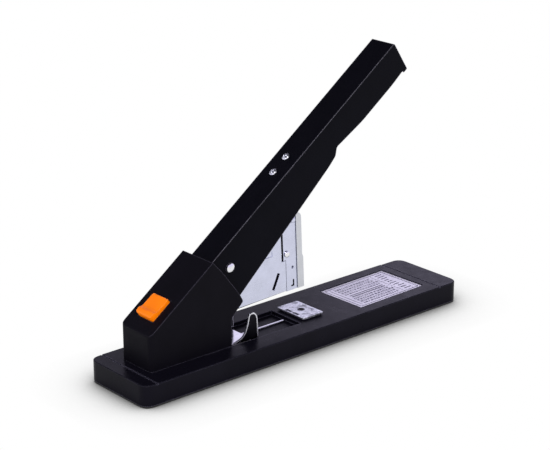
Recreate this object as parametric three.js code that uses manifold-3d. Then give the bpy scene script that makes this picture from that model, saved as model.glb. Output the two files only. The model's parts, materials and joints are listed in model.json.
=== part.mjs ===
// Heavy-duty long-lever desktop stapler, millimetres, +Z up.
// Origin: middle of the underside of the base. +X points to the front of the base (the label end).
// The press lever turns down about the pivot pin, and carries the sprung head with it.

import * as THREE from 'three';
import { mergeVertices } from 'three/addons/utils/BufferGeometryUtils.js';
import Module from 'manifold-3d';

const wasm = await Module();
wasm.setup();

// ---------------------------------------------------------------- driving dimensions

const GAP = 0.3;                 // clearance between neighbouring pieces
const SHEET = 1;                 // pressed steel sheet of the lever

const BASE = { length: 290, width: 62, top: 16, lift: 1.2, corner: 8, wall: 1.6, cavityTop: 11.2 };
const GROOVE = { front: 125.1, rear: -135.4, width: 0.9, depth: 0.7 };
const BASE_PLATE = { bottom: 3.5, top: 6, inset: 0.5, corner: 5.5, hole: 2.2 };
const SOLE = { halfLength: 142, halfWidth: 28, top: 3.2, corner: 5, hole: 4.4 };
const BASE_SCREW = { x: 112, y: 20, head: 3.8, shank: 1.9, bottom: 1.2, neck: 3.2, top: 10.9 };
const TROUGH = { rear: -84, front: 2, halfWidth: 15.5, floor: 13 };
const LABEL = { x: 86.2, y: 0.6, length: 64.5, width: 42.3, turn: 1.6, thick: 0.35, sunk: 0.7 };
const ANVIL = { x: 15.3, length: 19.2, width: 28.2, under: 16.8, top: 18, seatFloor: 14.4 };
const CLINCH = { x: 7.8, width: 2.4, y: 3.7, length: 6, depth: 0.6 };
const ANVIL_SCREW = { x: 16.1, hole: 1.75, sink: 2.75, head: 2.45, shank: 1.45, rise: 0.1 };
const STOP = { front: -35.2, rear: -57, tail: -60, outer: 13.7, sheet: 1, bottom: 14.8 };

const FRAME = { inner: 8.1, outer: 9.6, rear: -124, floorFront: -86 };
const COVER = { rear: -129.2, front: -60.7, halfWidth: 16, wall: 1.6, bottom: 16.3 };
const SLOPE = { foot: 41.4, endX: -76.2, endZ: 80.2 };
const BUTTON = { along: 19.8, length: 18, width: 16, stem: 4.4 };

const PIVOT = { x: -57.6, z: 70.8 };
const LEVER_ANGLE = 36.6;        // degrees above the base at rest
const LEVER = { halfWidth: 10.9, top: 14.75, tail: -10.5, end: 197.9, pinHole: 3.15 };
const PRESSER = { rear: 57, front: 92, outer: 7.2, inner: 6, screws: [70.7, 85], hole: 1.8 };

const HEAD = { x: -45, z: 40.1, tilt: 2.5 };
const HEAD_PIN = { p: -68.6, q: -12.1, radius: 1.8, ear: 3.6 };
const CHANNEL = { inner: 6.5, outer: 7.6, floor: -2.4, floorTop: -1.2, rim: 17.5, tail: 7.4 };
const CHEEK = { inner: 7.9, outer: 8.8 };
const EXIT = { rear: 50.1, front: 52.4, halfWidth: 6.9 };
const NOSE = { rear: 44.3, front: 53.6, top: 17.7, windowTop: 18.3 };
const BOLT = { p: 40.85, q: 25.4, shank: 1.5, hole: 1.65 };
const SLOT = { p: 30.4, q: 7.7, lean: 26.5, halfWidth: 1.25, halfLength: 6.1 };
const FRONT = {
  rear: 49.9, upper: 54.4, lower: 55.3, step: 21, bottom: -2.4, top: 53.6, corner: 4.5, sheet: 0.45,
};
const HOUSING = { rear: 37.8, front: 53.3, sheet: 0.7 };
const RIVET = { p: 47.5, q: 48.7, hole: 1.25 };
const RAIL = { under: 5.2, strap: 6.6, crest: 16.7, rear: -46, front: 50.3 };
const STAPLE = { half: 6.35, inside: 5.75, leg: 10, crown: 0.55, rear: 13 };
const PUSHER = { rear: 8, top: 17.6, half: 6.3, inside: 5.8, rodHeight: 11.6, rod: 1, rodHole: 1.3 };
const DRIVER = { rear: 50.7, front: 51.7, tip: 17.9, top: 50.5, capRear: 38.9, capTop: 53 };
const DRIVER_SPRING = { p: 45.6, radius: 2.5, wire: 0.45, shelf: 21, shelfTop: 22.4 };
const LATCH_PIN = { p: -55, q: 11.2, radius: 1 };
const ROLLER = { s: 61.3, v: -10.8, radius: 3.3, halfWidth: 5.6, pin: 1.45, bore: 1.6 };

const SLOPE_ANGLE = Math.atan2(SLOPE.endZ - SLOPE.foot, SLOPE.endX - COVER.rear);
const rad = THREE.MathUtils.degToRad;

// ---------------------------------------------------------------- shape helpers

function toSolid(geometry) {
  const bare = geometry.clone();
  bare.deleteAttribute('normal');
  bare.deleteAttribute('uv');
  const merged = mergeVertices(bare, 1e-4);
  return new wasm.Manifold(new wasm.Mesh({
    numProp: 3,
    vertProperties: new Float32Array(merged.attributes.position.array),
    triVerts: new Uint32Array(merged.index.array),
  }));
}

function toGeometry(solid) {
  const mesh = solid.getMesh();
  const geometry = new THREE.BufferGeometry();
  geometry.setAttribute('position', new THREE.BufferAttribute(mesh.vertProperties, 3));
  geometry.setIndex(new THREE.BufferAttribute(mesh.triVerts, 1));
  geometry.computeVertexNormals();
  return geometry;
}

const join = (...pieces) => toGeometry(pieces.map(toSolid).reduce((a, b) => a.add(b)));
const cut = (body, ...tools) => toGeometry(
  tools.map(toSolid).reduce((a, b) => a.subtract(b), toSolid(body)),
);
const common = (a, b) => toGeometry(toSolid(a).intersect(toSolid(b)));

// A block between two corners along each axis.
function block(x0, x1, y0, y1, z0, z1) {
  const geometry = new THREE.BoxGeometry(x1 - x0, y1 - y0, z1 - z0);
  return geometry.translate((x0 + x1) / 2, (y0 + y1) / 2, (z0 + z1) / 2);
}

// A round rod along Y, Z or X.
function rodY(x, z, radius, y0, y1, sides = 28) {
  return new THREE.CylinderGeometry(radius, radius, y1 - y0, sides).translate(x, (y0 + y1) / 2, z);
}

function rodZ(x, y, radius, z0, z1, sides = 28) {
  const rod = new THREE.CylinderGeometry(radius, radius, z1 - z0, sides).rotateX(Math.PI / 2);
  return rod.translate(x, y, (z0 + z1) / 2);
}

function rodX(y, z, radius, x0, x1, sides = 16) {
  const rod = new THREE.CylinderGeometry(radius, radius, x1 - x0, sides).rotateZ(Math.PI / 2);
  return rod.translate((x0 + x1) / 2, y, z);
}

// A closed outline from corners [x, y, roundness]; a roundness over 0 turns the corner into a curve.
function outline(corners) {
  const shape = new THREE.Shape();
  corners.forEach(([x, y, round = 0], i) => {
    const here = new THREE.Vector2(x, y);
    const towards = ([cornerX, cornerY]) => new THREE.Vector2(cornerX, cornerY).sub(here).setLength(round);
    const enter = here.clone().add(towards(corners.at(i - 1)));
    const leave = here.clone().add(towards(corners[(i + 1) % corners.length]));
    if (i === 0) shape.moveTo(enter.x, enter.y);
    else shape.lineTo(enter.x, enter.y);
    if (round > 0) shape.quadraticCurveTo(x, y, leave.x, leave.y);
  });
  shape.closePath();
  return shape;
}

function roundedRect(x0, x1, halfWidth, radius) {
  return outline([
    [x0, -halfWidth, radius], [x1, -halfWidth, radius], [x1, halfWidth, radius], [x0, halfWidth, radius],
  ]);
}

// A plan outline (X, Y) raised from z0 to z1.
function slab(shape, z0, z1, curveSegments = 8) {
  const settings = { depth: z1 - z0, bevelEnabled: false, curveSegments };
  return new THREE.ExtrudeGeometry(shape, settings).translate(0, 0, z0);
}

// A side outline (X, Z) spread from y0 to y1.
function panel(shape, y0, y1, curveSegments = 6) {
  const settings = { depth: y1 - y0, bevelEnabled: false, curveSegments };
  return new THREE.ExtrudeGeometry(shape, settings).rotateX(Math.PI / 2).translate(0, y1, 0);
}

// A coil spring of round wire along Z, standing on z0.
class Helix extends THREE.Curve {
  constructor(radius, z0, z1, turns) {
    super();
    Object.assign(this, { radius, z0, z1, turns });
  }

  getPoint(t, target = new THREE.Vector3()) {
    const angle = 2 * Math.PI * this.turns * t;
    const z = THREE.MathUtils.lerp(this.z0, this.z1, t);
    return target.set(this.radius * Math.cos(angle), this.radius * Math.sin(angle), z);
  }
}

function coil(radius, wire, z0, z1, turns) {
  const section = new THREE.Shape().absarc(0, 0, wire, 0, 2 * Math.PI, false);
  const extrudePath = new Helix(radius, z0 + wire, z1 - wire, turns);
  return new THREE.ExtrudeGeometry(section, { extrudePath, steps: turns * 12, curveSegments: 3 });
}

// A domed screw or rivet head with its shank, standing on z = 0 and pointing up.
function domedFastener(headRadius, headHeight, shankRadius, shankLength) {
  const profile = [
    new THREE.Vector2(0, -shankLength),
    new THREE.Vector2(shankRadius, -shankLength),
    new THREE.Vector2(shankRadius, 0),
    new THREE.Vector2(headRadius, 0),
    new THREE.Vector2(headRadius, headHeight * 0.45),
    new THREE.Vector2(headRadius * 0.72, headHeight * 0.85),
    new THREE.Vector2(0, headHeight),
  ];
  return new THREE.LatheGeometry(profile, 24).rotateX(Math.PI / 2);
}

const crossSlot = (radius, height) => [
  block(-radius, radius, -0.4, 0.4, height - 0.6, height + 1),
  block(-0.4, 0.4, -radius, radius, height - 0.6, height + 1),
];

// ---------------------------------------------------------------- finishes

const FINISH = {
  blackPaint: { color: 0x141318, roughness: 0.42, metalness: 0.2 },
  basePaint: { color: 0x1f1d26, roughness: 0.3, metalness: 0.2 },
  blackPlastic: { color: 0x17161b, roughness: 0.5, metalness: 0 },
  rubber: { color: 0x101012, roughness: 0.85, metalness: 0 },
  zinc: { color: 0xc6c6d4, roughness: 0.32, metalness: 0.9 },
  chrome: { color: 0xe6e6ea, roughness: 0.12, metalness: 1 },
  steel: { color: 0x9d9da4, roughness: 0.35, metalness: 0.95 },
  orange: { color: 0xff7a00, roughness: 0.35, metalness: 0 },
  label: { color: 0xc6c1d2, roughness: 0.45, metalness: 0.3 },
};

const stapler = new THREE.Group();
const lever = new THREE.Group();
const head = new THREE.Group();
const slope = new THREE.Group();
stapler.add(lever, head, slope);
lever.position.set(PIVOT.x, 0, PIVOT.z);
lever.rotation.y = -rad(LEVER_ANGLE);
head.position.set(HEAD.x, 0, HEAD.z);
head.rotation.y = -rad(HEAD.tilt);
slope.rotation.y = -SLOPE_ANGLE;

function add(group, name, geometry, finish) {
  const mesh = new THREE.Mesh(geometry, new THREE.MeshStandardMaterial(FINISH[finish]));
  mesh.name = name;
  group.add(mesh);
  return mesh;
}

// ---------------------------------------------------------------- base

const halfLength = BASE.length / 2;
const halfBase = BASE.width / 2;
const above = BASE.top + 4;       // over everything that stands on the base top
const screwSpots = [[-1, -1], [-1, 1], [1, -1], [1, 1]].map(([i, j]) => [i * BASE_SCREW.x, j * BASE_SCREW.y]);

const labelPlan = (margin) => {
  const plate = block(
    -LABEL.length / 2 - margin, LABEL.length / 2 + margin,
    -LABEL.width / 2 - margin, LABEL.width / 2 + margin, 0, 4,
  );
  return plate.rotateZ(rad(LABEL.turn)).translate(LABEL.x, LABEL.y, 0);
};

function baseCover() {
  const shell = slab(roundedRect(-halfLength, halfLength, halfBase, BASE.corner), BASE.lift, BASE.top);
  const inside = halfLength - BASE.wall;
  const insidePlan = roundedRect(-inside, inside, halfBase - BASE.wall, BASE.corner - BASE.wall);
  const cavity = slab(insidePlan, 0, BASE.cavityTop);
  const trough = block(TROUGH.rear, TROUGH.front, -TROUGH.halfWidth, TROUGH.halfWidth, TROUGH.floor, above);
  const seat = block(
    ANVIL.x - ANVIL.length / 2 + 1, ANVIL.x + ANVIL.length / 2 - 1,
    1 - ANVIL.width / 2, ANVIL.width / 2 - 1, ANVIL.seatFloor, above,
  );
  const grooves = [GROOVE.front, GROOVE.rear].map((x) => block(
    x, x + GROOVE.width, -halfBase - 1, halfBase + 1, BASE.top - GROOVE.depth, above,
  ));
  const pocket = labelPlan(GAP).translate(0, 0, BASE.top - LABEL.sunk - LABEL.thick - 0.1);
  return cut(shell, cavity, trough, seat, ...grooves, pocket);
}

function basePlate() {
  const { bottom, top, corner, hole } = BASE_PLATE;
  const inset = BASE.wall + BASE_PLATE.inset;
  const plan = roundedRect(inset - halfLength, halfLength - inset, halfBase - inset, corner);
  return cut(slab(plan, bottom, top), ...screwSpots.map(([x, y]) => rodZ(x, y, hole, 0, above, 16)));
}

function rubberSole() {
  const plan = roundedRect(-SOLE.halfLength, SOLE.halfLength, SOLE.halfWidth, SOLE.corner);
  return cut(slab(plan, 0, SOLE.top, 4), ...screwSpots.map(([x, y]) => rodZ(x, y, SOLE.hole, -1, above, 20)));
}

add(stapler, 'base_cover', baseCover(), 'basePaint');
add(stapler, 'base_plate', basePlate(), 'steel');
add(stapler, 'rubber_sole', rubberSole(), 'rubber');
screwSpots.forEach(([x, y], i) => {
  const { head: headRadius, shank, bottom, neck, top } = BASE_SCREW;
  const screw = join(rodZ(x, y, headRadius, bottom, neck, 20), rodZ(x, y, shank, neck - 0.2, top, 12));
  add(stapler, `base_screw_${i + 1}`, screw, 'steel');
});

const label = block(-LABEL.length / 2, LABEL.length / 2, -LABEL.width / 2, LABEL.width / 2, 0, LABEL.thick);
const labelMesh = add(stapler, 'capacity_label', label, 'label');
labelMesh.position.set(LABEL.x, LABEL.y, BASE.top - LABEL.sunk - LABEL.thick);
labelMesh.rotation.z = rad(LABEL.turn);

// ---------------------------------------------------------------- anvil and paper stop

function anvilPlate() {
  const half = ANVIL.width / 2;
  const rear = ANVIL.x - ANVIL.length / 2;
  const front = ANVIL.x + ANVIL.length / 2;
  const plate = slab(
    outline([[rear, -half, 1.5], [front, -half, 1.5], [front, half, 1.5], [rear, half, 1.5]]),
    ANVIL.under, ANVIL.top, 3,
  );
  const clinch = [-CLINCH.y, CLINCH.y].map((y) => block(
    CLINCH.x - CLINCH.width / 2, CLINCH.x + CLINCH.width / 2, y - CLINCH.length / 2, y + CLINCH.length / 2,
    ANVIL.top - CLINCH.depth, above,
  ));
  const hole = rodZ(ANVIL_SCREW.x, 0, ANVIL_SCREW.hole, 0, above, 20);
  const sink = rodZ(ANVIL_SCREW.x, 0, ANVIL_SCREW.sink, ANVIL.top - 0.7, above, 20);
  const pips = [-1, 1].map((sign) => rodZ(22, sign * 4.7, 0.7, ANVIL.top - 0.5, above, 10));
  return cut(plate, ...clinch, hole, sink, ...pips);
}

function anvilSeat() {
  const inset = 1 + GAP;
  const seat = block(
    ANVIL.x - ANVIL.length / 2 + inset, ANVIL.x + ANVIL.length / 2 - inset,
    inset - ANVIL.width / 2, ANVIL.width / 2 - inset, ANVIL.seatFloor + GAP, ANVIL.under - GAP,
  );
  return cut(seat, rodZ(ANVIL_SCREW.x, 0, ANVIL_SCREW.hole, 0, above, 20));
}

function paperStop() {
  const { front, rear, tail, outer, sheet, bottom } = STOP;
  const side = outline([
    [front, bottom], [front - 0.9, 30.5, 1.8], [-38.2, 34.4, 2.4], [-43.4, 34.4, 2.4],
    [-44.6, 27.5, 3], [-48, 19.2, 4], [rear, bottom + 1.6, 0.6], [rear, bottom],
  ]);
  const floor = block(tail, -41, 0.5 - outer, outer - 0.5, bottom, bottom + sheet);
  const lip = block(rear, front, -outer, sheet - outer, bottom, bottom + sheet);
  return join(floor, panel(side, -outer, sheet - outer), panel(side, outer - sheet, outer), lip);
}

function anvilScrewBody() {
  const { x, head: headRadius, shank, rise } = ANVIL_SCREW;
  const top = ANVIL.top + rise;
  const screw = join(
    rodZ(x, 0, headRadius, top - 0.5, top, 20),
    rodZ(x, 0, shank, ANVIL.seatFloor + 0.4, top - 0.4, 16),
  );
  return cut(screw, ...crossSlot(1.6, top).map((slot) => slot.translate(x, 0, 0)));
}

add(stapler, 'anvil_seat', anvilSeat(), 'blackPlastic');
add(stapler, 'anvil_plate', anvilPlate(), 'zinc');
add(stapler, 'anvil_screw', anvilScrewBody(), 'steel');
const strip = block(TROUGH.rear + 1, TROUGH.front - 2.4, -0.8, 0.8, TROUGH.floor + GAP, STOP.bottom - 0.4);
add(stapler, 'guide_strip', strip, 'chrome');
add(stapler, 'paper_stop', paperStop(), 'chrome');

// ---------------------------------------------------------------- frame bracket, pins, springs

const headAngle = rad(HEAD.tilt);
const headPinX = HEAD.x + HEAD_PIN.p * Math.cos(headAngle) - HEAD_PIN.q * Math.sin(headAngle);
const headPinZ = HEAD.z + HEAD_PIN.p * Math.sin(headAngle) + HEAD_PIN.q * Math.cos(headAngle);

function frameBracket() {
  const side = outline([
    [FRAME.rear, COVER.bottom], [FRAME.floorFront, COVER.bottom], [FRAME.floorFront + 3, 19],
    [-66, 19, 2], [-64, 58, 4], [-50.6, 64.5, 5], [-50.6, 77.4, 6], [-63, 78.4, 6], [-82, 61, 6],
    [FRAME.rear, 41, 3],
  ]);
  const slot = block(-140, -40, -FRAME.inner, FRAME.inner, COVER.bottom + 1.6, 90);
  const pivotHole = rodY(PIVOT.x, PIVOT.z, 3.15, -20, 20);
  const headHole = rodY(headPinX, headPinZ, HEAD_PIN.radius + 0.15, -20, 20, 20);
  return cut(panel(side, -FRAME.outer, FRAME.outer), slot, pivotHole, headHole);
}

function pivotPin() {
  const seat = LEVER.halfWidth + 0.4;
  const shaft = rodY(PIVOT.x, PIVOT.z, 3, -seat - 0.6, seat + 0.6);
  const rivetHead = domedFastener(3.2, 1.5, 2.8, 0.5);
  const near = rivetHead.clone().rotateX(Math.PI / 2).translate(PIVOT.x, -seat, PIVOT.z);
  const far = rivetHead.clone().rotateX(-Math.PI / 2).translate(PIVOT.x, seat, PIVOT.z);
  return join(shaft, near, far);
}

add(stapler, 'frame_bracket', frameBracket(), 'steel');
add(stapler, 'pivot_pin', pivotPin(), 'chrome');
add(stapler, 'head_pivot_pin', rodY(headPinX, headPinZ, HEAD_PIN.radius, -9.9, 9.9, 20), 'steel');

const leverSpring = coil(4.4, 0.7, -7.4, 7.4, 7).rotateX(Math.PI / 2).translate(PIVOT.x, 0, PIVOT.z);
add(stapler, 'lever_spring', leverSpring, 'steel');
add(stapler, 'head_lift_spring', coil(4.6, 0.7, 18.3, 35, 6).translate(-95, 0, 0), 'steel');

// ---------------------------------------------------------------- rear cover and release button

const buttonX = COVER.rear + BUTTON.along * Math.cos(SLOPE_ANGLE);
const buttonZ = SLOPE.foot + BUTTON.along * Math.sin(SLOPE_ANGLE);
slope.position.set(buttonX, 0, buttonZ);

function rearCover() {
  const side = outline([
    [COVER.rear, COVER.bottom], [COVER.front, COVER.bottom], [COVER.front, 36.6, 2], [-56.2, 41],
    [-50.3, 46.4, 1.6], [-54, 53, 4], [-68.6, 72], [SLOPE.endX, SLOPE.endZ],
    [COVER.rear, SLOPE.foot, 1.5],
  ]);
  const rounding = slab(
    outline([[COVER.rear, -COVER.halfWidth, 4], [-40, -COVER.halfWidth], [-40, COVER.halfWidth],
      [COVER.rear, COVER.halfWidth, 4]]),
    0, 100,
  );
  const inner = COVER.rear + COVER.wall;
  const rise = Math.tan(SLOPE_ANGLE);
  const drop = COVER.wall / Math.cos(SLOPE_ANGLE);
  const ceiling = (x) => SLOPE.foot - drop + (x - COVER.rear) * rise;
  const cavity = outline([[inner, 0], [-30, 0], [-30, ceiling(-30)], [inner, ceiling(inner)]]);
  const halfInside = COVER.halfWidth - COVER.wall;
  const buttonHole = block(
    -BUTTON.length / 2 - GAP, BUTTON.length / 2 + GAP,
    -BUTTON.width / 2 - GAP, BUTTON.width / 2 + GAP, -5, 5,
  );
  buttonHole.rotateY(-SLOPE_ANGLE).translate(buttonX, 0, buttonZ);
  return cut(common(panel(side, -COVER.halfWidth, COVER.halfWidth), rounding),
    panel(cavity, -halfInside, halfInside), buttonHole);
}

function releaseButton() {
  const half = BUTTON.length / 2;
  const side = outline([
    [-half, -1.8], [half, -1.8], [half, 2.4, 1.2], [-3, 2.6, 2], [-5, 4.4, 1.5], [-half, 4, 1.5],
  ]);
  const cap = panel(side, -BUTTON.width / 2, BUTTON.width / 2);
  const plan = slab(roundedRect(-half, half, BUTTON.width / 2, 2), -10, 10, 3);
  const stem = block(-2.5, 2.5, -3, 3, -BUTTON.stem, -1.4);
  return join(common(cap, plan), stem);
}

add(stapler, 'rear_cover', rearCover(), 'blackPaint');
add(slope, 'release_button', releaseButton(), 'orange');

// ---------------------------------------------------------------- press lever

const presserHoles = () => PRESSER.screws.map((s) => rodZ(s, 0, PRESSER.hole, 5, 20, 16));

// The lever is drawn along s (from the pivot to the grip) and v (square to it, upwards).
function leverChannel() {
  const side = outline([
    [LEVER.tail, LEVER.top, 1.5], [LEVER.tail, -4, 3], [-8.4, -23.2, 2], [103, -11.3, 3], [111.6, -9.6, 1.5],
    [116.4, -5.2, 1.5], [123.5, -6, 2], [144, -8.1, 4], [180, -8.3, 4], [192.2, -7.5, 0.4],
    [192.8, -9.3, 0.3], [196.6, -9.2, 0.6], [LEVER.end, LEVER.top, 1.2],
  ]);
  const hollow = outline([
    [-30, LEVER.top - SHEET], [LEVER.end - SHEET - 0.1, LEVER.top - SHEET, 1],
    [LEVER.end - SHEET - 2.5, -30], [-30, -30],
  ]);
  const half = LEVER.halfWidth;
  const pinHole = rodY(0, 0, LEVER.pinHole, -20, 20);
  const solid = panel(side, -half, half);
  return cut(solid, panel(hollow, SHEET - half, half - SHEET), pinHole, ...presserHoles());
}

function gripInsert() {
  const half = LEVER.halfWidth - SHEET - GAP;
  const top = LEVER.top - SHEET - GAP;
  const side = outline([[121, top], [195, top], [195, -6.8, 1], [146, -6.8, 4], [124, -4.8, 2], [121, -3.2]]);
  const hollow = block(123, 192.5, 1.6 - half, half - 1.6, -3.4, 30);
  return cut(panel(side, -half, half), hollow);
}

function presserBracket() {
  const { rear, front, outer, inner } = PRESSER;
  const { s, v, radius } = ROLLER;
  const top = LEVER.top - SHEET - GAP;
  const foot = block(rear, front, -outer, outer, top - SHEET, top);
  const arm = outline([[rear, top], [rear + 11, top, 2], [s + 3, v], [s - 3, v]]);
  const solidArm = join(panel(arm, -outer, outer), rodY(s, v, radius - 0.1, -outer, outer));
  const cheeks = cut(solidArm, block(rear - 7, rear + 18, -inner, inner, -20, top - SHEET));
  return cut(join(foot, cheeks), rodY(s, v, ROLLER.bore, -20, 20, 16), ...presserHoles());
}

add(lever, 'lever_channel', leverChannel(), 'blackPaint');
add(lever, 'grip_insert', gripInsert(), 'blackPlastic');
add(lever, 'presser_bracket', presserBracket(), 'steel');
['presser_screw_rear', 'presser_screw_front'].forEach((name, i) => {
  const screw = cut(domedFastener(2.8, 1.5, 1.4, 4.6), ...crossSlot(1.7, 1.5));
  add(lever, name, screw, 'chrome').position.set(PRESSER.screws[i], 0, LEVER.top + GAP);
});
const rollerRod = (radius, half, sides) => rodY(ROLLER.s, ROLLER.v, radius, -half, half, sides);
add(lever, 'roller_pin', rollerRod(ROLLER.pin, PRESSER.outer - 0.1, 16), 'steel');
const roller = cut(rollerRod(ROLLER.radius, ROLLER.halfWidth, 28), rollerRod(ROLLER.bore, 9, 16));
add(lever, 'presser_roller', roller, 'steel');

// ---------------------------------------------------------------- head: channel, cheeks and cover

// The head is drawn along p (from its rear to the nose) and q (square to it, upwards).
function magazineChannel() {
  const { inner, outer, floor, floorTop, rim, tail } = CHANNEL;
  const { p: pinP, q: pinQ, ear } = HEAD_PIN;
  const side = outline([
    [pinP - ear - 1.8, pinQ - ear, 3], [pinP + ear, pinQ - ear, 3], [pinP + ear + 3, floor, 1],
    [NOSE.front, floor], [NOSE.front, 4.9], [NOSE.rear - GAP, 4.9], [NOSE.rear - GAP, rim],
    [-48, rim, 2], [-51, 13.6, 1.5], [-59, 13.6, 1.5], [-61, tail, 1], [pinP - ear - 1.8, tail, 4],
  ]);
  const bay = block(-80, 60, -inner, inner, floorTop, 30);
  const betweenEars = block(-80, pinP + ear + 4, -inner, inner, -20, floor);
  const exit = block(EXIT.rear, EXIT.front, -EXIT.halfWidth, EXIT.halfWidth, -2, 4);
  const pinHole = rodY(HEAD_PIN.p, HEAD_PIN.q, HEAD_PIN.radius + 0.15, -20, 20, 20);
  const latchHole = rodY(LATCH_PIN.p, LATCH_PIN.q, LATCH_PIN.radius + 0.15, -20, 20, 12);
  const solid = panel(side, -outer, outer);
  return cut(solid, bay, betweenEars, exit, pinHole, latchHole);
}

function headArm() {
  const side = outline([
    [-4, -1.3], [39.7, -1.7], [39.7, 20.7], [36.1, 20.7], [36.1, 49, 2], [31, 49, 3], [-4, 17, 2],
  ]);
  const { p, q, lean, halfWidth, halfLength } = SLOT;
  const slot = block(-halfWidth, halfWidth, -10, 10, -halfLength, halfLength);
  slot.rotateY(rad(lean)).translate(p, 0, q);
  const bay = block(-10, 45, -CHEEK.inner, CHEEK.inner, -5, 60);
  const bridge = block(-3, 12, -CHEEK.inner - 0.2, CHEEK.inner + 0.2, 19, 20.1);
  const recesses = [-1, 1].map((sign) => block(19.5, 28, 9 * sign - 0.65, 9 * sign + 0.65, 27.2, 31));
  const cheeks = cut(panel(side, -CHEEK.outer, CHEEK.outer), bay, slot, ...recesses);
  return join(cheeks, bridge);
}

function driverHousing() {
  const side = outline([
    [40, FRONT.bottom], [HOUSING.front, FRONT.bottom], [HOUSING.front, FRONT.top, FRONT.corner],
    [HOUSING.rear, FRONT.top], [HOUSING.rear, 21], [40, 21],
  ]);
  const shaft = block(30, HOUSING.front - HOUSING.sheet, -CHEEK.inner, CHEEK.inner, -5, 60);
  const window = block(50, 60, -CHEEK.inner, CHEEK.inner, -5, NOSE.windowTop);
  const boltHole = rodY(BOLT.p, BOLT.q, BOLT.hole, -20, 20, 16);
  const rivetHole = rodY(RIVET.p, RIVET.q, RIVET.hole, -20, 20, 16);
  const smallHole = rodY(45.8, 14.3, 1.1, -20, 20, 12);
  const hook = block(45.7, 47, -20, 20, 0.2, 5.2);
  const hookFoot = block(44.2, 46.4, -20, 20, 0.2, 1.4);
  const wall = CHEEK.inner + 0.2;
  const shelf = block(41, 49, -wall, wall, DRIVER_SPRING.shelf, DRIVER_SPRING.shelfTop);
  const solid = panel(side, -CHEEK.outer, CHEEK.outer);
  return join(cut(solid, shaft, window, boltHole, rivetHole, smallHole, hook, hookFoot), shelf);
}

function frontCover() {
  const { rear, upper, lower, step, bottom, top, corner, sheet } = FRONT;
  const inner = CHEEK.outer + GAP;
  const side = outline([
    [rear, bottom], [lower, bottom], [lower, step - 1], [upper, step + 1], [upper, top, corner], [rear, top],
  ]);
  const nest = block(rear - 9, HOUSING.front + GAP, -inner, inner, bottom - 9, top + 9);
  const window = block(50, 60, -CHEEK.inner, CHEEK.inner, -5, NOSE.windowTop);
  return cut(panel(side, -inner - sheet, inner + sheet), nest, window);
}

add(head, 'magazine_channel', magazineChannel(), 'steel');
add(head, 'head_arm', headArm(), 'zinc');
add(head, 'driver_housing', driverHousing(), 'zinc');
add(head, 'front_cover', frontCover(), 'zinc');

function headBolt() {
  const seat = CHEEK.outer + GAP;
  const ends = [-1, 1].map((sign) => (
    domedFastener(2.3, 1, 1.2, 0.4).rotateX(-sign * Math.PI / 2).translate(BOLT.p, sign * seat, BOLT.q)
  ));
  return join(rodY(BOLT.p, BOLT.q, BOLT.shank, -seat - 0.3, seat + 0.3, 16), ...ends);
}

add(head, 'head_bolt', headBolt(), 'chrome');
[['top_rivet_near', -1], ['top_rivet_far', 1]].forEach(([name, sideSign]) => {
  const rivet = domedFastener(1.9, 0.8, 1.1, 1.1).rotateX(-sideSign * Math.PI / 2);
  add(head, name, rivet, 'zinc').position.set(RIVET.p, sideSign * (CHEEK.outer + 0.2), RIVET.q);
});
const driverSpring = coil(
  DRIVER_SPRING.radius, DRIVER_SPRING.wire, DRIVER_SPRING.shelfTop + 0.2, DRIVER.top - 0.1, 7,
);
add(head, 'driver_spring', driverSpring.translate(DRIVER_SPRING.p, 0, 0), 'steel');

// ---------------------------------------------------------------- head: rail, staples, pusher, driver

function magazineRail() {
  const { under, strap, crest, rear, front } = RAIL;
  const core = block(rear, front, -5.5, 5.5, strap - 0.2, crest);
  const flange = block(rear, front, -6.2, 6.2, under, strap);
  const nose = cut(
    block(NOSE.rear, NOSE.front, -CHANNEL.outer, CHANNEL.outer, under, NOSE.top),
    block(NOSE.rear - 4, EXIT.front, -6.7, 6.7, strap, 30),
    block(EXIT.rear, EXIT.front, -EXIT.halfWidth, EXIT.halfWidth, 0, 30),
  );
  const tunnel = block(rear + 2, front - 3, -3.4, 3.4, 8.4, 14.9);
  const slot = block(rear + 2, front - 3, -1.2, 1.2, 14, 20);
  const catchHole = block(rear + 1.4, rear + 4.4, -2.6, 2.6, 13.5, 20);
  return cut(join(core, flange, nose), tunnel, slot, catchHole);
}

function stapleStick() {
  const top = RAIL.crest + 0.25 + STAPLE.crown;
  const stick = block(STAPLE.rear, RAIL.front - 0.2, -STAPLE.half, STAPLE.half, top - STAPLE.leg, top);
  return cut(stick, block(0, 60, -STAPLE.inside, STAPLE.inside, 0, top - STAPLE.crown));
}

function pusher() {
  const { rear, top, half, inside, rodHeight, rodHole } = PUSHER;
  const front = STAPLE.rear - GAP;
  const saddle = cut(
    block(rear, front, -half, half, 7, top),
    block(rear - 8, front + 8, -inside, inside, 0, RAIL.crest + GAP),
  );
  const tab = block(rear + 0.6, front - 0.7, -0.9, 0.9, rodHeight, top - 0.1);
  const shoe = block(rear + 0.6, front - 0.7, -3.1, 3.1, 8.7, 14.6);
  return cut(join(saddle, tab, shoe), rodX(0, rodHeight, rodHole, 0, 20));
}

add(head, 'magazine_rail', magazineRail(), 'steel');
add(head, 'staple_stick', stapleStick(), 'zinc');
add(head, 'pusher', pusher(), 'steel');
const pusherRod = rodX(0, PUSHER.rodHeight, PUSHER.rod, RAIL.rear + 2 + GAP, RAIL.front - 3 - GAP);
add(head, 'pusher_rod', pusherRod, 'steel');
const pusherSpring = coil(2.2, 0.4, RAIL.rear + 4.6, PUSHER.rear + 0.2, 9).rotateY(Math.PI / 2);
add(head, 'pusher_spring', pusherSpring.translate(0, 0, PUSHER.rodHeight), 'steel');

const blade = block(DRIVER.rear, DRIVER.front, -6.2, 6.2, DRIVER.tip, DRIVER.top);
add(head, 'driver_blade', blade, 'steel');
const cap = block(DRIVER.capRear, DRIVER.front + 0.6, -7.4, 7.4, DRIVER.top + GAP, DRIVER.capTop);
add(head, 'driver_cap', cap, 'steel');

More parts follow.
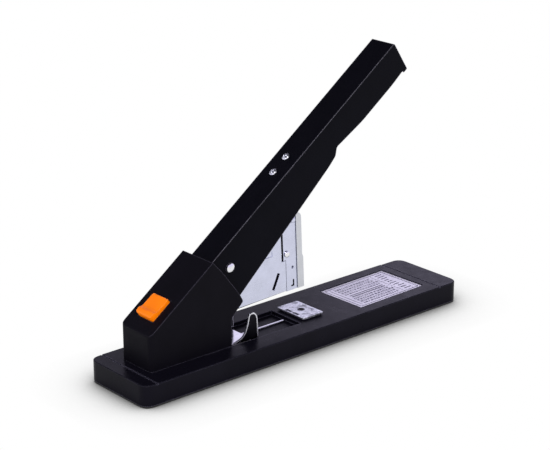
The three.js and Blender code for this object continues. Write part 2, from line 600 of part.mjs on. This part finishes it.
// ---------------------------------------------------------------- head: release latch

// A rocker on the tail of the magazine: the button tips it and its hook leaves the rail.
function releaseLatch() {
  const side = outline([
    [-69.8, 9], [-53, 9, 2], [-45.6, 18.6, 1.5], [-43.3, 18.6], [-43.3, 14], [-42.1, 14],
    [-42.1, 20, 1], [-48, 20, 2], [-56, 13, 2], [-60, 10.4, 2], [-69.8, 10.4],
  ]);
  return cut(panel(side, -2.2, 2.2), rodY(LATCH_PIN.p, LATCH_PIN.q, LATCH_PIN.radius + 0.15, -5, 5, 12));
}

add(head, 'release_latch', releaseLatch(), 'steel');
add(head, 'latch_pin', rodY(LATCH_PIN.p, LATCH_PIN.q, LATCH_PIN.radius, -7.5, 7.5, 12), 'steel');

export default stapler;
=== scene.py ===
"""Looks of a heavy-duty long-lever desktop stapler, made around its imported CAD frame.

Metres, +Z up, +X towards the front of the base. Every piece stands where its CAD node stands.
"""

import json
import math
import random

import bmesh
import bpy
from mathutils import Matrix, Vector

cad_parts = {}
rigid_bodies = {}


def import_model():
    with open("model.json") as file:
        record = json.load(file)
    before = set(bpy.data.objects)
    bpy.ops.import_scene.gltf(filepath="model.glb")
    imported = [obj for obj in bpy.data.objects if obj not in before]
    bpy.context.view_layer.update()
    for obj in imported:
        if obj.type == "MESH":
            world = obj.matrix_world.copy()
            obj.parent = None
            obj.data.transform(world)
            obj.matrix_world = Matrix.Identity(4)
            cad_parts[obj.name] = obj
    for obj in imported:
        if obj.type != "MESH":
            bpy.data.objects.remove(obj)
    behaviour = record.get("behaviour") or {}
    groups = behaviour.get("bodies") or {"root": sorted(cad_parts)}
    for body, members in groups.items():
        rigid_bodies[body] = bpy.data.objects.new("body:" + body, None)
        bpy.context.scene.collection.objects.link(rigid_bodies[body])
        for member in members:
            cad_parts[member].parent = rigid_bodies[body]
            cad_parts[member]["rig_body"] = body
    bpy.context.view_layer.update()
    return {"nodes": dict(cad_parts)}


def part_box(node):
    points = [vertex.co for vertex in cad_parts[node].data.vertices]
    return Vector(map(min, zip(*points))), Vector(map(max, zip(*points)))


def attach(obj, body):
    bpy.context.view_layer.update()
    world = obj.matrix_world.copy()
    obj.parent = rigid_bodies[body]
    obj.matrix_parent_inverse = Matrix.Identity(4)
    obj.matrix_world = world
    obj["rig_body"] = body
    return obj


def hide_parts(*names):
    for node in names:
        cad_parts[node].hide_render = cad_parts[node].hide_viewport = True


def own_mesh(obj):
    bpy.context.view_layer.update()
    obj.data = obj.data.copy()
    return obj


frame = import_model()
MM = 0.001

# ---------------------------------------------------------------- named sizes, metres unless told

HEAD_TILT = math.radians(2.5)
HEAD_PLACE = Vector((-45, 0, 40.1)) * MM
HEAD = Matrix.Translation(HEAD_PLACE) @ Matrix.Rotation(-HEAD_TILT, 4, "Y")
SHARP = math.radians(38)    # edges bent more than this are bevelled
SMALL = 0.3 * MM            # a point this close to a face counts as being on it
LABEL_LENGTH = 64.5         # millimetres, as is all of the label's chart
LABEL_WIDTH = 42.3
LABEL_TURN = math.radians(1.6)
CAMERA_AIM = Vector((0.0034, 0.0135, 0.0806))
CAMERA_BACK = Vector((-0.6185, -0.7130, 0.3303))
CAMERA_DISTANCE = 1.2
CAMERA_LENS = 112.45
SENSOR = 36

# ---------------------------------------------------------------- shader helpers


def linear(red, green, blue):
    """An sRGB colour of 0 to 255 as linear RGBA."""
    def channel(value):
        value /= 255
        return value / 12.92 if value <= 0.04045 else ((value + 0.055) / 1.055) ** 2.4
    return (channel(red), channel(green), channel(blue), 1)


def scaled(colour, factor):
    """The colour made darker or paler by a factor."""
    return tuple(channel * factor for channel in colour[:3]) + (1,)


class Shader:
    """A material whose nodes are added by short calls. Scales are per metre, and distances in metres."""

    def __init__(self, name):
        self.material = bpy.data.materials.new(name)
        self.material.use_nodes = True
        self.tree = self.material.node_tree
        self.surface = self.tree.nodes["Principled BSDF"]
        coordinates = self.tree.nodes.new("ShaderNodeTexCoord")
        self.place = coordinates.outputs["Object"]

    def node(self, kind, inputs=None, **settings):
        made = self.tree.nodes.new(kind)
        for key, value in settings.items():
            setattr(made, key, value)
        for key, value in (inputs or {}).items():
            if isinstance(value, bpy.types.NodeSocket):
                self.tree.links.new(value, made.inputs[key])
            else:
                made.inputs[key].default_value = value
        return made

    def set(self, **values):
        for key, value in values.items():
            socket = self.surface.inputs[key.replace("_", " ")]
            if isinstance(value, bpy.types.NodeSocket):
                self.tree.links.new(value, socket)
            else:
                socket.default_value = value

    def stretched(self, x, y, z):
        return self.node("ShaderNodeMapping", {"Vector": self.place, "Scale": (x, y, z)}).outputs[0]

    def noise(self, scale, detail=3, vector=None, roughness=0.5):
        made = self.node("ShaderNodeTexNoise", {
            "Vector": vector or self.place, "Scale": scale, "Detail": detail, "Roughness": roughness,
        })
        return made.outputs["Fac"]

    def cells(self, scale):
        return self.node("ShaderNodeTexVoronoi", {"Vector": self.place, "Scale": scale}).outputs["Color"]

    def spread(self, value, low, high, start=0.3, end=0.7):
        made = self.node("ShaderNodeMapRange", {
            "Value": value, "From Min": start, "From Max": end, "To Min": low, "To Max": high,
        })
        return made.outputs["Result"]

    def math(self, operation, a, b):
        return self.node("ShaderNodeMath", {0: a, 1: b}, operation=operation).outputs[0]

    def mix(self, factor, a, b):
        made = self.node("ShaderNodeMix", data_type="RGBA")
        for index, value in ((0, factor), (6, a), (7, b)):
            if isinstance(value, bpy.types.NodeSocket):
                self.tree.links.new(value, made.inputs[index])
            else:
                made.inputs[index].default_value = value
        return made.outputs[2]

    def edges(self, radius):
        """About 1 where the surface turns within the radius, 0 on the flat."""
        rounded = self.node("ShaderNodeBevel", {"Radius": radius}, samples=6).outputs[0]
        flat = self.node("ShaderNodeNewGeometry").outputs["Normal"]
        same = self.node("ShaderNodeVectorMath", {0: rounded, 1: flat}, operation="DOT_PRODUCT")
        return self.spread(same.outputs["Value"], 1, 0, 0.75, 0.99)

    def bump(self, height, distance, strength=1.0):
        made = self.node("ShaderNodeBump", {"Height": height, "Distance": distance, "Strength": strength})
        self.tree.links.new(made.outputs[0], self.surface.inputs["Normal"])


def paint(name, colour, rough, level, wear_and_highlight, peel=0.00002):
    """Stoved paint: orange peel, faint clouding, and pale edges of rubbed wear and painted highlight."""
    s = Shader(name)
    cloud = s.noise(45, 4)
    tint = s.mix(s.spread(cloud, 0, 1), colour, scaled(colour, 1.35))
    # paler edges: rubbed wear, and a painted highlight along each edge
    rubbed_and_highlit_edges = s.math("MULTIPLY", s.edges(0.0012), s.spread(s.noise(140, 4), 0.6, 1))
    s.set(Base_Color=s.mix(rubbed_and_highlit_edges, tint, wear_and_highlight), Metallic=0.0)
    s.surface.inputs["Specular IOR Level"].default_value = level
    s.set(Roughness=s.spread(s.noise(150, 5), rough - 0.04, rough + 0.06))
    s.bump(s.noise(1500, 2), peel)
    return s.material


def moulded(name, colour, edge, rough, level, grain=0.00003):
    """Moulded plastic with a fine spark texture and polished edges, painted paler as a highlight."""
    s = Shader(name)
    tone = s.mix(s.spread(s.noise(70, 4), 0, 1), colour, scaled(colour, 1.2))
    # edges painted paler: a painted highlight
    s.set(Base_Color=s.mix(s.math("MULTIPLY", s.edges(0.0007), 0.6), tone, edge))
    s.surface.inputs["Specular IOR Level"].default_value = level
    polished = s.math("MULTIPLY", s.edges(0.0006), 0.15)
    s.set(Roughness=s.math("SUBTRACT", s.spread(s.noise(900, 2), rough - 0.04, rough + 0.05), polished))
    s.bump(s.noise(2600, 2), grain)
    return s.material


def rubber_mat():
    s = Shader("rubber_matt")
    s.set(Base_Color=s.mix(s.spread(s.noise(120, 4), 0, 1), linear(22, 22, 23), linear(34, 33, 33)))
    s.surface.inputs["Specular IOR Level"].default_value = 0.25
    s.set(Roughness=s.spread(s.noise(400, 3), 0.75, 0.92))
    s.bump(s.noise(1800, 3), 0.00006)
    return s.material


def sheet_metal(name, colour, rough, brush=(40, 900, 900), spangle=0.12, depth=0.000008):
    """Plated or plain sheet: fine rolling lines, cloudy spangle, and edges worn bright."""
    s = Shader(name)
    lines = s.noise(1, 3, s.stretched(*brush))
    clouds = s.noise(110, 5)
    tone = s.mix(s.spread(clouds, 0, 1), scaled(colour, 1 - spangle), colour)
    worn = s.math("MULTIPLY", s.edges(0.0004), 0.7)
    s.set(Base_Color=s.mix(worn, tone, scaled(colour, 1.2)), Metallic=1.0)
    rolled = s.spread(lines, rough - 0.05, rough + 0.05)
    s.set(Roughness=s.math("ADD", rolled, s.spread(clouds, -0.03, 0.04)))
    s.bump(lines, depth, 0.6)
    return s.material


def galvanised(name):
    """Mottled zinc: crystals of differing tone with small dark marks from clinched staples."""
    s = Shader(name)
    crystal = s.node("ShaderNodeSeparateColor", {"Color": s.cells(900)}).outputs[0]
    tone = s.mix(s.spread(crystal, 0, 1, 0, 1), linear(204, 208, 212), linear(238, 241, 243))
    stain = s.spread(s.noise(170, 6), 0, 1, 0.5, 0.64)
    s.set(Base_Color=s.mix(s.math("MULTIPLY", stain, 0.8), tone, linear(104, 107, 112)), Metallic=0.9)
    s.set(Roughness=s.spread(s.noise(600, 4), 0.3, 0.45))
    s.bump(s.noise(300, 4), 0.00002)
    return s.material


def polished(name, colour, rough):
    """Bright plating with faint waves and fine hairlines."""
    s = Shader(name)
    s.set(Base_Color=s.mix(s.spread(s.noise(200, 4), 0, 1), scaled(colour, 0.9), colour))
    hairlines = s.noise(1, 4, s.stretched(300, 1200, 60))
    s.set(Metallic=1.0, Roughness=s.spread(hairlines, rough, rough + 0.08))
    s.bump(s.noise(90, 2), 0.00003)
    return s.material


def wire(name, colour, rough):
    """Drawn wire with lengthwise die marks."""
    s = Shader(name)
    s.set(Base_Color=s.mix(s.spread(s.noise(400, 4), 0, 1), scaled(colour, 0.75), colour))
    s.set(Metallic=1.0, Roughness=s.spread(s.noise(700, 4), rough - 0.05, rough + 0.1))
    s.bump(s.noise(1800, 3), 0.00001)
    return s.material


def foil(name):
    """Satin silver sticker stock."""
    s = Shader(name)
    s.set(Base_Color=s.mix(s.spread(s.noise(60, 4), 0, 1), linear(208, 206, 216), linear(228, 226, 234)))
    s.set(Metallic=0.35, Roughness=s.spread(s.noise(800, 3), 0.34, 0.46))
    s.bump(s.noise(1200, 2), 0.00001)
    return s.material


def ink(name, colour):
    """Screen-printed ink, a little uneven where it covers thinly."""
    s = Shader(name)
    thin = s.spread(s.noise(1600, 3), 0, 0.35, 0.5, 0.75)
    s.set(Base_Color=s.mix(thin, colour, linear(208, 206, 216)))
    s.set(Roughness=s.spread(s.noise(500, 2), 0.4, 0.5))
    s.surface.inputs["Specular IOR Level"].default_value = 0.1
    s.bump(s.noise(900, 2), 0.00001)
    return s.material


MATERIALS = {
    # the last colour of each paint is its pale edge: rubbed wear and a painted highlight
    "lever": paint("lever_black", linear(6, 6, 11), 0.42, 0.035, linear(112, 110, 118)),
    "cover": paint("cover_black", linear(10, 9, 14), 0.46, 0.04, linear(70, 68, 78)),
    "base": paint("base_black", linear(12, 11, 18), 0.30, 0.05, linear(92, 90, 104)),
    # the second colour of a moulded plastic is the painted highlight on its edges
    "plastic": moulded("moulded_black", linear(14, 13, 17), linear(26, 25, 30), 0.5, 0.2),
    "rubber": rubber_mat(),
    "zinc": sheet_metal("zinc_sheet", linear(208, 211, 230), 0.3),
    "grey_zinc": sheet_metal("grey_zinc_sheet", linear(206, 208, 213), 0.34),
    # a bright metal that paints the highlight round the paper stop's edges
    "edge_highlight_metal": sheet_metal("painted_edge_highlight", linear(235, 235, 240), 0.45),
    "anvil": galvanised("galvanised_plate"),
    "steel": sheet_metal("plain_steel", linear(150, 150, 158), 0.34, (900, 40, 900), 0.2),
    # dark steel, also used as painted shade on the pivot pin's domes and the magazine channel
    "dark_steel_and_shade": sheet_metal("blued_steel_and_painted_shade", linear(30, 29, 34), 0.38, (900, 900, 60), 0.3),
    "chrome": polished("bright_plating", linear(232, 232, 236), 0.1),
    "spring": wire("spring_wire", linear(140, 140, 146), 0.3),
    "staple": wire("staple_wire", linear(205, 205, 212), 0.25),
    # its second colour is the painted highlight on its edges
    "orange": moulded("orange_plastic", linear(250, 126, 0), linear(255, 176, 96), 0.4, 0.2, 0.00001),
    "foil": foil("label_foil"),
    "ink": ink("label_ink", linear(84, 81, 100)),
}

# ---------------------------------------------------------------- mesh helpers


def body_of(node):
    return frame["nodes"][node]["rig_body"]


def finish_piece(piece, node, material, slot, extra=()):
    """Gives a piece its materials, and puts it in the place of its CAD node."""
    for key in (material, *extra):
        piece.data.materials.append(MATERIALS[key])
    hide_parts(node)
    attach(piece, body_of(node))
    return piece


def smooth(mesh, angle=SHARP):
    mesh.shade_smooth()
    mesh.set_sharp_from_angle(angle=angle)


def mesh_object(name, bm):
    mesh = bpy.data.meshes.new(name)
    bm.to_mesh(mesh)
    bm.free()
    piece = bpy.data.objects.new(name, mesh)
    bpy.context.scene.collection.objects.link(piece)
    return piece


def bevel_edges(piece, width, segments, share, rim):
    """Rounds the sharp edges, each by share(edge) of the width, and gives the roundings material rim."""
    bm = bmesh.new()
    bm.from_mesh(piece.data)
    weight = bm.edges.layers.float.new("bevel_weight_edge")
    for edge in bm.edges:
        if len(edge.link_faces) == 2 and edge.calc_face_angle() > SHARP:
            edge[weight] = share(edge)
    bm.to_mesh(piece.data)
    bm.free()
    bevel = piece.modifiers.new("rounded_edges", "BEVEL")
    bevel.limit_method = "WEIGHT"
    bevel.width = width
    bevel.segments = segments
    bevel.material = rim
    bevel.miter_outer = "MITER_ARC"
    piece.modifiers.new("flat_faces", "WEIGHTED_NORMAL").keep_sharp = True


def refined(node, material, slot, width, segments, share=lambda edge: 1, extra=(), shape=None, rim=-1):
    """A clean copy of a CAD node with rounded edges and smooth shading, which stands for it.

    shape(bm) may rework the copy and number its faces' materials among (material, *extra); rim is the number
    that the rounded edges get.
    """
    bm = bmesh.new()
    bm.from_mesh(frame["nodes"][node].data)
    bmesh.ops.remove_doubles(bm, verts=bm.verts, dist=2e-6)
    bmesh.ops.dissolve_limit(bm, angle_limit=math.radians(0.5), verts=bm.verts, edges=bm.edges)
    if shape:
        shape(bm)
    piece = mesh_object(f"{node}_fine", bm)
    smooth(piece.data)
    bevel_edges(piece, width, segments, share, rim)
    return finish_piece(piece, node, material, slot, extra)


def tube(points, radius, sides=10):
    """A closed round tube along points, as bmesh."""
    bm = bmesh.new()
    rings = []
    up = Vector((0, 0, 1))
    for i, point in enumerate(points):
        ahead = points[min(i + 1, len(points) - 1)] - points[max(i - 1, 0)]
        side = ahead.cross(up).normalized()
        over = side.cross(ahead).normalized()
        angles = [2 * math.pi * k / sides for k in range(sides)]
        ring = [point + radius * (math.cos(a) * side + math.sin(a) * over) for a in angles]
        rings.append([bm.verts.new(spot) for spot in ring])
    for one, two in zip(rings, rings[1:]):
        for k in range(sides):
            bm.faces.new((one[k], one[(k + 1) % sides], two[(k + 1) % sides], two[k]))
    bm.faces.new(reversed(rings[0]))
    bm.faces.new(rings[-1])
    bmesh.ops.recalc_face_normals(bm, faces=bm.faces)
    return bm


def coil(node, radius, thick, turns, length, place):
    """A spring of round wire with a closed turn at each end, centred on place, along place's Z axis."""
    steps_per_turn = 32
    pitch = 2 * thick
    reach = length / 2 - thick - pitch
    points = []
    for i in range(turns * steps_per_turn + 1):
        turn = i / steps_per_turn
        opened = min(max((turn - 1) / (turns - 2), 0), 1)
        closed = min(turn, 1) - min(turns - turn, 1)
        angle = 2 * math.pi * turn
        height = reach * (2 * opened - 1) + pitch * closed
        points.append(Vector((radius * math.cos(angle), radius * math.sin(angle), height)))
    piece = mesh_object(f"{node}_fine", tube(points, thick))
    piece.data.transform(place)
    smooth(piece.data, math.radians(60))
    return finish_piece(piece, node, "spring", "spring_steel")


def middle(node):
    low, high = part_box(node)
    return (low + high) / 2


# ---------------------------------------------------------------- pieces with their own modelling


def base_cover():
    """The base's shell: broad soft edges round its top, small ones in its slots."""
    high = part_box("base_cover")[1]
    band, end_band, slot_share = 9 * MM, 8 * MM, 0.28

    def on_top(spot):
        return abs(spot.z - high.z) < SMALL

    def share(edge):
        spot = (edge.verts[0].co + edge.verts[1].co) / 2
        near_outline = abs(spot.x) > high.x - band or abs(spot.y) > high.y - band
        on_side = abs(abs(spot.y) - high.y) < SMALL or abs(abs(spot.x) - high.x) < SMALL
        at_end = abs(spot.x) > high.x - end_band
        rim = near_outline and on_top(edge.verts[0].co) and on_top(edge.verts[1].co)
        return 1 if rim and (on_side or at_end) else slot_share

    refined("base_cover", "base", "base_paint", 1.1 * MM, 4, share)


def paper_stop():
    """Dark sheet, a bright band round its flat sides as a painted highlight, plated floor and cut edges."""
    highlight_band_width = 0.8 * MM

    def shape(bm):
        flats = [face for face in bm.faces if abs(face.normal.y) > 0.9]
        for face in set(bm.faces) - set(flats):
            face.material_index = 1
        # a painted highlight: a bright band round each flat side, also given to the rounded edges
        band = bmesh.ops.inset_individual(bm, faces=flats, thickness=highlight_band_width, use_even_offset=True)
        for face in band["faces"]:
            face.material_index = 2

    refined("paper_stop", "dark_steel_and_shade", "chrome_sheet", 0.3 * MM, 2, extra=("chrome", "edge_highlight_metal"),
            shape=shape, rim=2)


def anvil_plate():
    """Mottled plate whose sunk clinch grooves take a darker plain steel."""
    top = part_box("anvil_plate")[1].z
    deepest, half_width = 0.9 * MM, 8 * MM

    def shape(bm):
        for face in bm.faces:
            spot = face.calc_center_median()
            sunk = 0.1 * MM < top - spot.z < deepest
            face.material_index = int(sunk and abs(spot.y) < half_width)

    refined("anvil_plate", "anvil", "zinc_sheet", 0.15 * MM, 2, extra=("steel",), shape=shape)


def pivot_pin():
    """A bright rivet with painted shade: below the top of each domed head the pin is dark."""
    dome = 0.9 * MM
    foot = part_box("pivot_pin")[1].y - dome

    def shape(bm):
        for face in bm.faces:
            # painted shade: all but the top of each dome takes the dark steel
            face.material_index = int(abs(face.calc_center_median().y) < foot)

    refined("pivot_pin", "chrome", "chrome_sheet", 0.2 * MM, 2, extra=("dark_steel_and_shade",), shape=shape)


def front_cover():
    """The head's front sheet, whose side flanges nearly close the seam beside the driver housing."""
    flange_rear, reach = 50 * MM, 0.22 * MM
    to_head = HEAD.inverted()
    forwards = HEAD.to_3x3() @ Vector((1, 0, 0))

    def shape(bm):
        for vert in bm.verts:
            if (to_head @ vert.co).x < flange_rear:
                vert.co -= forwards * reach

    refined("front_cover", "grey_zinc", "zinc_sheet", 0.08 * MM, 2, shape=shape)


def staple_stick():
    """A stick of glued staples: one loft along the magazine with a ridge for each wire."""
    wire_width, half, leg, thick, corner = 0.7 * MM, 6.35 * MM, 10 * MM, 0.55 * MM, 0.5 * MM
    rear, front, top = 13 * MM, 50.1 * MM, 17.5 * MM
    groove, groove_share = 0.12, 0.18
    count = round((front - rear) / wire_width)

    def profile(inset):
        """The U of one staple in (y, q), pulled in by inset."""
        outer_half, outer_top = half - inset, top - inset
        inner_half, inner_top = half - thick + inset, top - thick + inset
        foot = top - leg
        arc = [math.radians(a) for a in (0, 30, 60, 90)]
        round_y, round_q = outer_half - corner, outer_top - corner
        right = [(round_y + corner * math.cos(a), round_q + corner * math.sin(a)) for a in arc]
        left = [(-y, q) for y, q in reversed(right)]
        inside = [(-inner_half, foot), (-inner_half, inner_top), (inner_half, inner_top), (inner_half, foot)]
        return [(outer_half, foot), *right, *left, (-outer_half, foot), *inside]

    bm = bmesh.new()
    rings = []
    for i in range(count):
        start = rear + i * (front - rear) / count
        for share, inset in ((0, groove), (groove_share, 0), (1 - groove_share, 0)):
            loop = profile(inset * MM)
            rings.append([bm.verts.new((start + share * wire_width, y, q)) for y, q in loop])
    rings.append([bm.verts.new((front, y, q)) for y, q in profile(groove * MM)])
    for one, two in zip(rings, rings[1:]):
        for k in range(len(one)):
            after = (k + 1) % len(one)
            bm.faces.new((one[k], one[after], two[after], two[k]))
    bm.faces.new(rings[0])
    bm.faces.new(rings[-1])
    bmesh.ops.recalc_face_normals(bm, faces=bm.faces)
    piece = mesh_object("staple_stick_fine", bm)
    piece.data.transform(HEAD)
    smooth(piece.data, math.radians(25))
    return finish_piece(piece, "staple_stick", "staple", "staple_wire")


def label_chart():
    """The ink of the capacity chart as boxes (x0, x1, y0, y1) in millimetres about the label's middle."""
    rng = random.Random(7)
    end, side, half_rule = 29.6, 18.8, 0.4
    boxes = [(-end, end, way * side - half_rule, way * side + half_rule) for way in (-1, 1)]
    boxes += [(way * end - half_rule, way * end + half_rule, -side, side) for way in (-1, 1)]
    boxes += [(-26.6, -26, -17, 17), (15.6, 16.1, -17, 17)]
    boxes += [(-22, 12, -0.1, 1.1), (-22, 12, -2.6, -1.2)]
    for y in (14.8, 11.2, 7.6, 4, -5.2, -8.6, -12, -15.4):
        boxes.append((-24, 14.4, y + 1.6, y + 1.85))
        x = -23.4
        while x < 12:
            length = rng.uniform(0.9, 2.4)
            boxes.append((x, x + length, y - 0.9, y + 0.7))
            x += length + rng.uniform(0.5, 1.1)
    for step in range(10):
        y = 15.6 - 3.4 * step
        start = 17.6 + rng.uniform(0, 3)
        boxes.append((start, start + rng.uniform(4.5, 7.5), y - 0.6, y + 0.6))
    return boxes


def grid_lines(half, edges):
    """The label's ends and the chart's edges in order, without those that fall together."""
    lines = sorted({-half, half, *edges})
    return [line for line, after in zip(lines, lines[1:] + [math.inf]) if after - line > 0.02]


def capacity_label():
    """Foil sticker with a printed chart of rows, rules and bars, and no lettering."""
    low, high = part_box("capacity_label")
    boxes = label_chart()
    xs = grid_lines(LABEL_LENGTH / 2, [edge for box in boxes for edge in box[:2]])
    ys = grid_lines(LABEL_WIDTH / 2, [edge for box in boxes for edge in box[2:]])
    bm = bmesh.new()
    top = high.z - 0.02 * MM
    grid = [[bm.verts.new((x * MM, y * MM, top)) for y in ys] for x in xs]
    for i in range(len(xs) - 1):
        for j in range(len(ys) - 1):
            face = bm.faces.new((grid[i][j], grid[i + 1][j], grid[i + 1][j + 1], grid[i][j + 1]))
            x, y = (xs[i] + xs[i + 1]) / 2, (ys[j] + ys[j + 1]) / 2
            face.material_index = int(any(a < x < b and c < y < d for a, b, c, d in boxes))
    rim = [e for e in bm.edges if len(e.link_faces) == 1]
    skirt = bmesh.ops.extrude_edge_only(bm, edges=rim)["geom"]
    for vert in skirt:
        if isinstance(vert, bmesh.types.BMVert):
            vert.co.z = low.z
    bmesh.ops.holes_fill(bm, edges=[e for e in bm.edges if len(e.link_faces) == 1], sides=0)
    bmesh.ops.recalc_face_normals(bm, faces=bm.faces)
    piece = mesh_object("capacity_label_fine", bm)
    spot = (low + high) / 2
    piece.data.transform(Matrix.Translation((spot.x, spot.y, 0)) @ Matrix.Rotation(LABEL_TURN, 4, "Z"))
    return finish_piece(piece, "capacity_label", "foil", "label_foil", ("ink",))


def springs():
    """The four coil springs; three of them get meshes of their own."""
    quarter = math.pi / 2
    coil("lever_spring", 4.4 * MM, 0.7 * MM, 7, 14.8 * MM,
         Matrix.Translation(middle("lever_spring")) @ Matrix.Rotation(quarter, 4, "X"))
    low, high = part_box("head_lift_spring")
    lift = coil("head_lift_spring", 4.6 * MM, 0.7 * MM, 6, high.z - low.z,
                Matrix.Translation(middle("head_lift_spring")))
    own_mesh(lift)
    spot = middle("driver_spring")
    driver = coil("driver_spring", 2.5 * MM, 0.45 * MM, 7, 27.6 * MM,
                  Matrix.Translation(spot) @ Matrix.Rotation(-HEAD_TILT, 4, "Y"))
    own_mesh(driver)
    spot = middle("pusher_spring")
    feed = coil("pusher_spring", 2.2 * MM, 0.4 * MM, 9, 49.4 * MM,
                Matrix.Translation(spot) @ Matrix.Rotation(quarter - HEAD_TILT, 4, "Y"))
    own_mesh(feed)


# ---------------------------------------------------------------- pieces refined from their CAD nodes

# node: (material, slot, edge rounding in mm, segments)
REFINED = {
    "base_plate": ("steel", "steel", 0.3, 2),
    "rubber_sole": ("rubber", "rubber", 0.5, 3),
    "anvil_seat": ("plastic", "black_plastic", 0.2, 2),
    "anvil_screw": ("dark_steel_and_shade", "steel", 0.12, 2),
    "guide_strip": ("chrome", "chrome_sheet", 0.25, 3),
    "frame_bracket": ("steel", "steel", 0.3, 2),
    "head_pivot_pin": ("steel", "steel", 0.2, 2),
    "rear_cover": ("cover", "cover_paint", 0.6, 4),
    "release_button": ("orange", "orange_plastic", 0.6, 5),
    "lever_channel": ("lever", "lever_paint", 0.45, 4),
    "grip_insert": ("plastic", "black_plastic", 0.4, 3),
    "presser_bracket": ("steel", "steel", 0.2, 2),
    "presser_screw_rear": ("grey_zinc", "chrome_sheet", 0.3, 3),
    "presser_screw_front": ("grey_zinc", "chrome_sheet", 0.3, 3),
    "roller_pin": ("steel", "steel", 0.2, 2),
    "presser_roller": ("steel", "steel", 0.3, 3),
    # the channel is coloured dark as painted shade where the head's slot shows it
    "magazine_channel": ("dark_steel_and_shade", "steel", 0.2, 2),
    "head_arm": ("zinc", "zinc_sheet", 0.2, 2),
    "driver_housing": ("zinc", "zinc_sheet", 0.1, 2),
    "head_bolt": ("chrome", "steel", 0.2, 2),
    "top_rivet_near": ("zinc", "zinc_sheet", 0.15, 2),
    "top_rivet_far": ("zinc", "zinc_sheet", 0.15, 2),
    "magazine_rail": ("steel", "steel", 0.2, 2),
    "pusher_rod": ("steel", "steel", 0.2, 2),
    "pusher": ("steel", "steel", 0.15, 2),
    "driver_blade": ("steel", "steel", 0.12, 2),
    "driver_cap": ("steel", "steel", 0.3, 2),
    "release_latch": ("steel", "steel", 0.15, 2),
    "latch_pin": ("steel", "steel", 0.15, 2),
    **{f"base_screw_{i}": ("chrome", "steel", 0.25, 2) for i in range(1, 5)},
}


def refined_pieces():
    for node, (material, slot, width, segments) in REFINED.items():
        refined(node, material, slot, width * MM, segments)


# ---------------------------------------------------------------- floor, light and camera


def glow(name, colour, strength=1.0):
    material = bpy.data.materials.new(name)
    material.use_nodes = True
    nodes, links = material.node_tree.nodes, material.node_tree.links
    nodes.clear()
    light = nodes.new("ShaderNodeEmission")
    light.inputs["Color"].default_value = colour
    light.inputs["Strength"].default_value = strength
    links.new(light.outputs[0], nodes.new("ShaderNodeOutputMaterial").inputs["Surface"])
    return material, nodes, links, light


def floor():
    """A white floor that glows, with a painted shadow darkening it softly where the base stands over it."""
    shadow_reach = 0.045
    bm = bmesh.new()
    bmesh.ops.create_circle(bm, cap_ends=True, radius=12, segments=96)
    piece = mesh_object("studio_floor", bm)
    material, nodes, links, light = glow("floor_white", (1, 1, 1, 1))
    painted_contact_shadow = nodes.new("ShaderNodeAmbientOcclusion")
    painted_contact_shadow.samples = 12
    painted_contact_shadow.inputs["Distance"].default_value = shadow_reach
    ramp = nodes.new("ShaderNodeValToRGB")
    ramp.color_ramp.elements[0].color = (0.03, 0.03, 0.03, 1)
    ramp.color_ramp.elements[0].position = 0.42
    ramp.color_ramp.elements[1].color = (1, 1, 1, 1)
    ramp.color_ramp.elements[1].position = 0.97
    links.new(painted_contact_shadow.outputs["AO"], ramp.inputs[0])
    links.new(ramp.outputs[0], light.inputs["Color"])
    piece.data.materials.append(material)


def backdrop():
    """A white dome far round the floor, which only the camera sees."""
    bm = bmesh.new()
    bmesh.ops.create_uvsphere(bm, u_segments=48, v_segments=24, radius=11.5)
    piece = mesh_object("studio_dome", bm)
    piece.data.materials.append(glow("dome_white", (1, 1, 1, 1))[0])
    piece.visible_diffuse = False
    piece.visible_glossy = False
    piece.visible_transmission = False
    piece.visible_shadow = False


def world():
    """Soft sky: pale near the horizon and dark overhead."""
    sky = bpy.data.worlds.new("studio")
    bpy.context.scene.world = sky
    sky.use_nodes = True
    nodes, links = sky.node_tree.nodes, sky.node_tree.links
    place = nodes.new("ShaderNodeTexCoord")
    parts = nodes.new("ShaderNodeSeparateXYZ")
    ramp = nodes.new("ShaderNodeValToRGB")
    links.new(place.outputs["Generated"], parts.inputs[0])
    links.new(parts.outputs["Z"], ramp.inputs[0])
    stops = ramp.color_ramp.elements
    stops[0].position, stops[0].color = 0.0, (0.7, 0.67, 0.85, 1)
    stops[1].position, stops[1].color = 0.75, (0.04, 0.04, 0.048, 1)
    stops.new(0.4).color = (0.78, 0.74, 0.96, 1)
    stops.new(0.52).color = (0.11, 0.1, 0.13, 1)
    links.new(ramp.outputs[0], nodes["Background"].inputs["Color"])
    nodes["Background"].inputs["Strength"].default_value = 1.25


def softbox(name, towards, distance, size, power, colour=(1, 0.98, 1.03)):
    """A square soft light that shines on the stapler from the direction given."""
    light = bpy.data.lights.new(name, "AREA")
    light.shape = "SQUARE"
    light.size = size
    light.energy = power
    light.color = colour
    lamp = bpy.data.objects.new(name, light)
    direction = Vector(towards).normalized()
    lamp.location = CAMERA_AIM + direction * distance
    lamp.rotation_euler = direction.to_track_quat("Z", "Y").to_euler()
    bpy.context.scene.collection.objects.link(lamp)


def lights():
    softbox("key", (-0.25, -0.62, 0.75), 1.6, 0.5, 16)
    softbox("rear_fill", (-0.9, -0.25, 0.35), 1.6, 0.6, 4)
    softbox("front_sheen", (0.78, 0.5, 0.42), 1.3, 0.5, 0.9, (0.92, 0.86, 1.2))


def camera():
    lens = bpy.data.cameras.new("camera")
    lens.lens = CAMERA_LENS
    lens.sensor_width = SENSOR
    lens.clip_end = 60
    view = bpy.data.objects.new("camera", lens)
    back = CAMERA_BACK.normalized()
    view.location = CAMERA_AIM + back * CAMERA_DISTANCE
    view.rotation_euler = back.to_track_quat("Z", "Y").to_euler()
    bpy.context.scene.collection.objects.link(view)
    bpy.context.scene.camera = view


def picture_settings():
    settings = bpy.context.scene.view_settings
    settings.view_transform = "Standard"
    settings.look = "None"


camera()
base_cover()
paper_stop()
anvil_plate()
pivot_pin()
front_cover()
staple_stick()
capacity_label()
springs()
refined_pieces()
floor()
backdrop()
world()
lights()
picture_settings()
